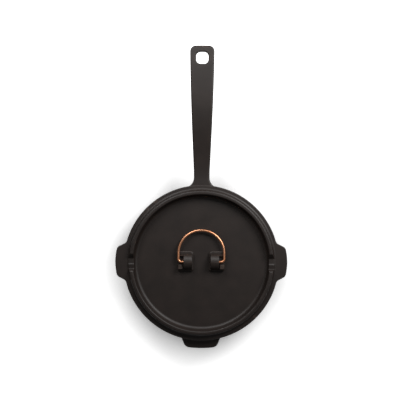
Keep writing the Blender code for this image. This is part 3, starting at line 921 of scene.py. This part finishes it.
def seasoned_iron():
    """A warm black, nearly matt, with a soft broad shine that marks every rounding."""
    material, tree, shader = new_material("oven_seasoned_sand_cast_iron")
    place = add_node(tree, "ShaderNodeTexCoord").outputs["Object"]
    clouds, grain, patches = [
        add_node(
            tree, "ShaderNodeTexNoise", {"Vector": place, "Scale": 1 / size, "Detail": detail}
        ).outputs["Fac"]
        for size, detail in ((CLOUD_SIZE, 4.0), (GRAIN_SIZE, 3.0), (WEAR_SIZE, 3.0))
    ]
    tone = add_node(tree, "ShaderNodeValToRGB", {"Fac": clouds})
    set_stops(tone, IRON_STOPS)
    points = add_node(tree, "ShaderNodeNewGeometry").outputs["Pointiness"]
    edges = add_node(tree, "ShaderNodeMapRange", from_to(points, WEAR_EDGES, (0.0, 1.0)))
    worn = add_node(
        tree, "ShaderNodeMath", {0: edges.outputs["Result"], 1: patches}, operation="MULTIPLY"
    ).outputs[0]
    colour = add_node(
        tree, "ShaderNodeMixRGB", {"Fac": worn, "Color1": tone.outputs["Color"], "Color2": linear(IRON_WORN)}
    )
    dull = add_node(tree, "ShaderNodeMapRange", from_to(clouds, CLOUD_RANGE, IRON_ROUGHNESS))
    rubbed = add_node(tree, "ShaderNodeMath", {0: worn, 1: WEAR_SHINE}, operation="MULTIPLY")
    gloss = add_node(
        tree, "ShaderNodeMath", {0: dull.outputs["Result"], 1: rubbed.outputs[0]}, operation="SUBTRACT"
    )
    bump = add_node(
        tree, "ShaderNodeBump", {"Strength": GRAIN_STRENGTH, "Distance": GRAIN_DEPTH, "Height": grain}
    )
    tree.links.new(colour.outputs["Color"], shader.inputs["Base Color"])
    tree.links.new(gloss.outputs[0], shader.inputs["Roughness"])
    tree.links.new(bump.outputs["Normal"], shader.inputs["Normal"])
    return material


iron = seasoned_iron()
print(iron.name, "has", len(iron.node_tree.nodes), "nodes")

# %% [markdown]
# The copper
#
# The bail has a copper colour and is read as drawn steel wire with a copper plating. Drawing pulls
# the wire through a die and leaves it smooth along its length. It is bare metal, so it is fully
# metallic and keeps the default IOR, and its colour is the colour of its reflections. A plain colour
# would look new, so patches of tarnish make it duller and darker here and there.

# %% Plated wire
COPPER_DULL = "e29c72"
COPPER_BRIGHT = "f2b088"
COPPER_STOPS = ((0.3, COPPER_DULL), (0.7, COPPER_BRIGHT))
COPPER_ROUGHNESS = (0.41, 0.35)
TARNISH_RANGE = (0.3, 0.7)
# Tarnish comes in patches, drawn about 9 mm across. The lines that the die leaves are far finer than
# a pixel, and the wire is only 2.5 pixels wide, so the roughness stands for them.
TARNISH_SIZE = 0.009


def copper_wire():
    """A warm, soft gleam that runs along the wire and fades over the duller patches."""
    material, tree, shader = new_material("copper_plated_drawn_steel_wire")
    shader.inputs["Metallic"].default_value = 1.0
    place = add_node(tree, "ShaderNodeTexCoord").outputs["Object"]
    pattern = {"Vector": place, "Scale": 1 / TARNISH_SIZE, "Detail": 2.0}
    tarnish = add_node(tree, "ShaderNodeTexNoise", pattern).outputs["Fac"]
    tone = add_node(tree, "ShaderNodeValToRGB", {"Fac": tarnish})
    set_stops(tone, COPPER_STOPS)
    dull = add_node(tree, "ShaderNodeMapRange", from_to(tarnish, TARNISH_RANGE, COPPER_ROUGHNESS))
    tree.links.new(tone.outputs["Color"], shader.inputs["Base Color"])
    tree.links.new(dull.outputs["Result"], shader.inputs["Roughness"])
    return material


copper = copper_wire()
print(copper.name, "has", len(copper.node_tree.nodes), "nodes")

# %% [markdown]
# Dressing the pieces
#
# A casting's large faces look flat and only its roundings turn. Smooth shading alone smears the
# roundings over the flats, and flat shading shows every facet. Normals weighted by the size of the
# faces do what is wanted. Then each piece rides on its body, so that it moves with the joints, and
# the first piece of each body hides the coarse CAD node it stands for.

# %% Shade, colour and ride
SHARP_ANGLE = math.radians(40)


def shaded(piece):
    piece.data.shade_smooth()
    piece.data.set_sharp_from_angle(angle=SHARP_ANGLE)
    weighted = piece.modifiers.new("weighted", "WEIGHTED_NORMAL")
    weighted.keep_sharp = True
    return settled(piece)


def dress(pieces, material, body, node):
    for piece in pieces:
        shaded(piece)
        piece.data.materials.clear()
        piece.data.materials.append(material)
        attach(piece, body)
    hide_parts(node)
    print(node, "is shown by", [piece.name for piece in pieces])


dress([bowl, handle, grip], iron, "pan", "skillet_pan")
dress([lid] + bosses, iron, "lid", "skillet_lid")
dress([bail], copper, "bail", "lid_bail")

# %% [markdown]
# The camera
#
# The photograph looks straight down on the skillet, turned by a fraction of a degree. An orthographic
# camera could do it, but the handle's end rises and looks a little larger, as it does to a real lens.
# The camera stands 1.1 m above the flange, where the picture is just under 0.4 m wide, so a pixel of
# the 400 is about a millimetre.

# %% Camera
CAMERA_DISTANCE = 1.1
SENSOR_WIDTH = 36.0
FIELD = 0.3992
CAMERA_ROLL = math.radians(0.3)
VIEW_MIDDLE = (-0.0016, 0.0627)

camera_data = bpy.data.cameras.new("camera")
camera_data.sensor_width = SENSOR_WIDTH
camera_data.lens = SENSOR_WIDTH * CAMERA_DISTANCE / FIELD
camera = bpy.data.objects.new("camera", camera_data)
camera.location = (*VIEW_MIDDLE, LAND + CAMERA_DISTANCE)
camera.rotation_euler.z = CAMERA_ROLL
bpy.context.scene.collection.objects.link(camera)
bpy.context.scene.camera = camera
print("Lens:", round(camera_data.lens, 1), "mm")

# %% [markdown]
# The floor and the world
#
# The skillet lies on white, with only a narrow soft shadow close to it. A white floor under these
# lamps would hold a wide grey shadow, and more light to bleach it would bleach the iron too. So the
# camera sees the floor glow white, and that narrow shadow is painted into the glow: it is darker
# where Ambient Occlusion finds something close by. The floor and the world also show in shiny
# surfaces, but dimly, because at full white they show too strongly in the iron's gloss. The world
# also gives the object a low, even fill.

# %% Floor
FLOOR_COLOUR = 0.88
FLOOR_REACH = 3.0
SEEN_IN_METAL = 0.12
# The floor's shadow beside the skillet is painted: Ambient Occlusion within this reach dims the floor's
# white glow, mapped over this range.
PAINTED_SHADOW_REACH = 0.055
PAINTED_SHADOW_RANGE = (0.49, 0.94)
PAINTED_SHADOW_SAMPLES = 16


def shiny_ray(tree, path):
    """1 for a ray that comes from a glossy or a clear surface."""
    rays = {0: path["Is Glossy Ray"], 1: path["Is Transmission Ray"]}
    return add_node(tree, "ShaderNodeMath", rays, operation="MAXIMUM").outputs[0]


def white_floor():
    shape = bmesh.new()
    bmesh.ops.create_grid(shape, x_segments=1, y_segments=1, size=FLOOR_REACH)
    floor = added("floor", shape)
    material, tree, _ = new_material("white_sweep_with_painted_shadow")
    path = add_node(tree, "ShaderNodeLightPath").outputs
    # Painted shadow: the closer something stands, the lower the Ambient Occlusion, and the darker the
    # floor's glow is drawn for the camera.
    painted_shadow_ao = add_node(
        tree, "ShaderNodeAmbientOcclusion", {"Distance": PAINTED_SHADOW_REACH}, samples=PAINTED_SHADOW_SAMPLES
    ).outputs["AO"]
    white = add_node(tree, "ShaderNodeMapRange", from_to(painted_shadow_ao, PAINTED_SHADOW_RANGE, (0.0, 1.0)))
    to_camera = add_node(
        tree, "ShaderNodeMath", {0: path["Is Camera Ray"], 1: white.outputs["Result"]}, operation="MULTIPLY"
    )
    strength = add_node(
        tree, "ShaderNodeMath", {0: shiny_ray(tree, path), 1: SEEN_IN_METAL, 2: to_camera.outputs[0]},
        operation="MULTIPLY_ADD",
    )
    glow = add_node(tree, "ShaderNodeEmission", {"Strength": strength.outputs[0]})
    lit = add_node(tree, "ShaderNodeBsdfDiffuse", {"Color": (FLOOR_COLOUR, FLOOR_COLOUR, FLOOR_COLOUR, 1.0)})
    both = add_node(tree, "ShaderNodeAddShader", {0: glow.outputs["Emission"], 1: lit.outputs["BSDF"]})
    tree.links.new(both.outputs["Shader"], tree.nodes["Material Output"].inputs["Surface"])
    floor.data.materials.append(material)
    return floor


floor = white_floor()
print("Floor's edge:", max(vertex.co.x for vertex in floor.data.vertices), "m from the middle")

# %% World
FILL = 0.07


def studio_world():
    """An even, dim fill for the object, and plain white behind it for the camera."""
    world = bpy.data.worlds.new("studio")
    world.use_nodes = True
    tree = world.node_tree
    path = add_node(tree, "ShaderNodeLightPath").outputs
    unseen = add_node(
        tree, "ShaderNodeMath", {0: shiny_ray(tree, path), 1: SEEN_IN_METAL - FILL, 2: FILL},
        operation="MULTIPLY_ADD",
    )
    strength = add_node(
        tree, "ShaderNodeMath", {0: path["Is Camera Ray"], 1: unseen.outputs[0]}, operation="MAXIMUM"
    )
    tree.links.new(strength.outputs[0], tree.nodes["Background"].inputs["Strength"])
    tree.nodes["Background"].inputs["Color"].default_value = (1.0, 1.0, 1.0, 1.0)
    return world


bpy.context.scene.world = studio_world()
bpy.context.scene.view_settings.view_transform = "Standard"
print("World: fill", FILL, "of white")

# %% [markdown]
# The lights
#
# Two round softboxes stand on the handle's side, the stronger one on the right. They could be small
# and far, but hard shadows would fall into the well. At 0.3 m across and 0.58 m away they leave a
# soft dark crescent at the back of the well and a pale line along the front of the ring.

# %% Softboxes
SOFTBOX_ELEVATION = math.radians(39)
SOFTBOX_DISTANCE = 0.58
SOFTBOX_SIZE = 0.30
SOFTBOX_TARGET = (0, 0.03, LAND)


def softbox(name, bearing, power):
    """A round lamp that points at the target from a bearing, counted from +X towards +Y."""
    lamp = bpy.data.lights.new(name, "AREA")
    lamp.shape = "DISK"
    lamp.size = SOFTBOX_SIZE
    lamp.energy = power
    light = bpy.data.objects.new(name, lamp)
    level, up = math.cos(SOFTBOX_ELEVATION), math.sin(SOFTBOX_ELEVATION)
    towards = Vector((level * math.cos(bearing), level * math.sin(bearing), up))
    light.location = Vector(SOFTBOX_TARGET) + SOFTBOX_DISTANCE * towards
    light.rotation_mode = "QUATERNION"
    light.rotation_quaternion = towards.to_track_quat("Z", "Y")
    bpy.context.scene.collection.objects.link(light)
    print(name, "at", [round(side, 2) for side in light.location], "with", power, "W")


softbox("right_softbox", math.radians(44), 2.75)
softbox("left_softbox", math.radians(116), 1.75)
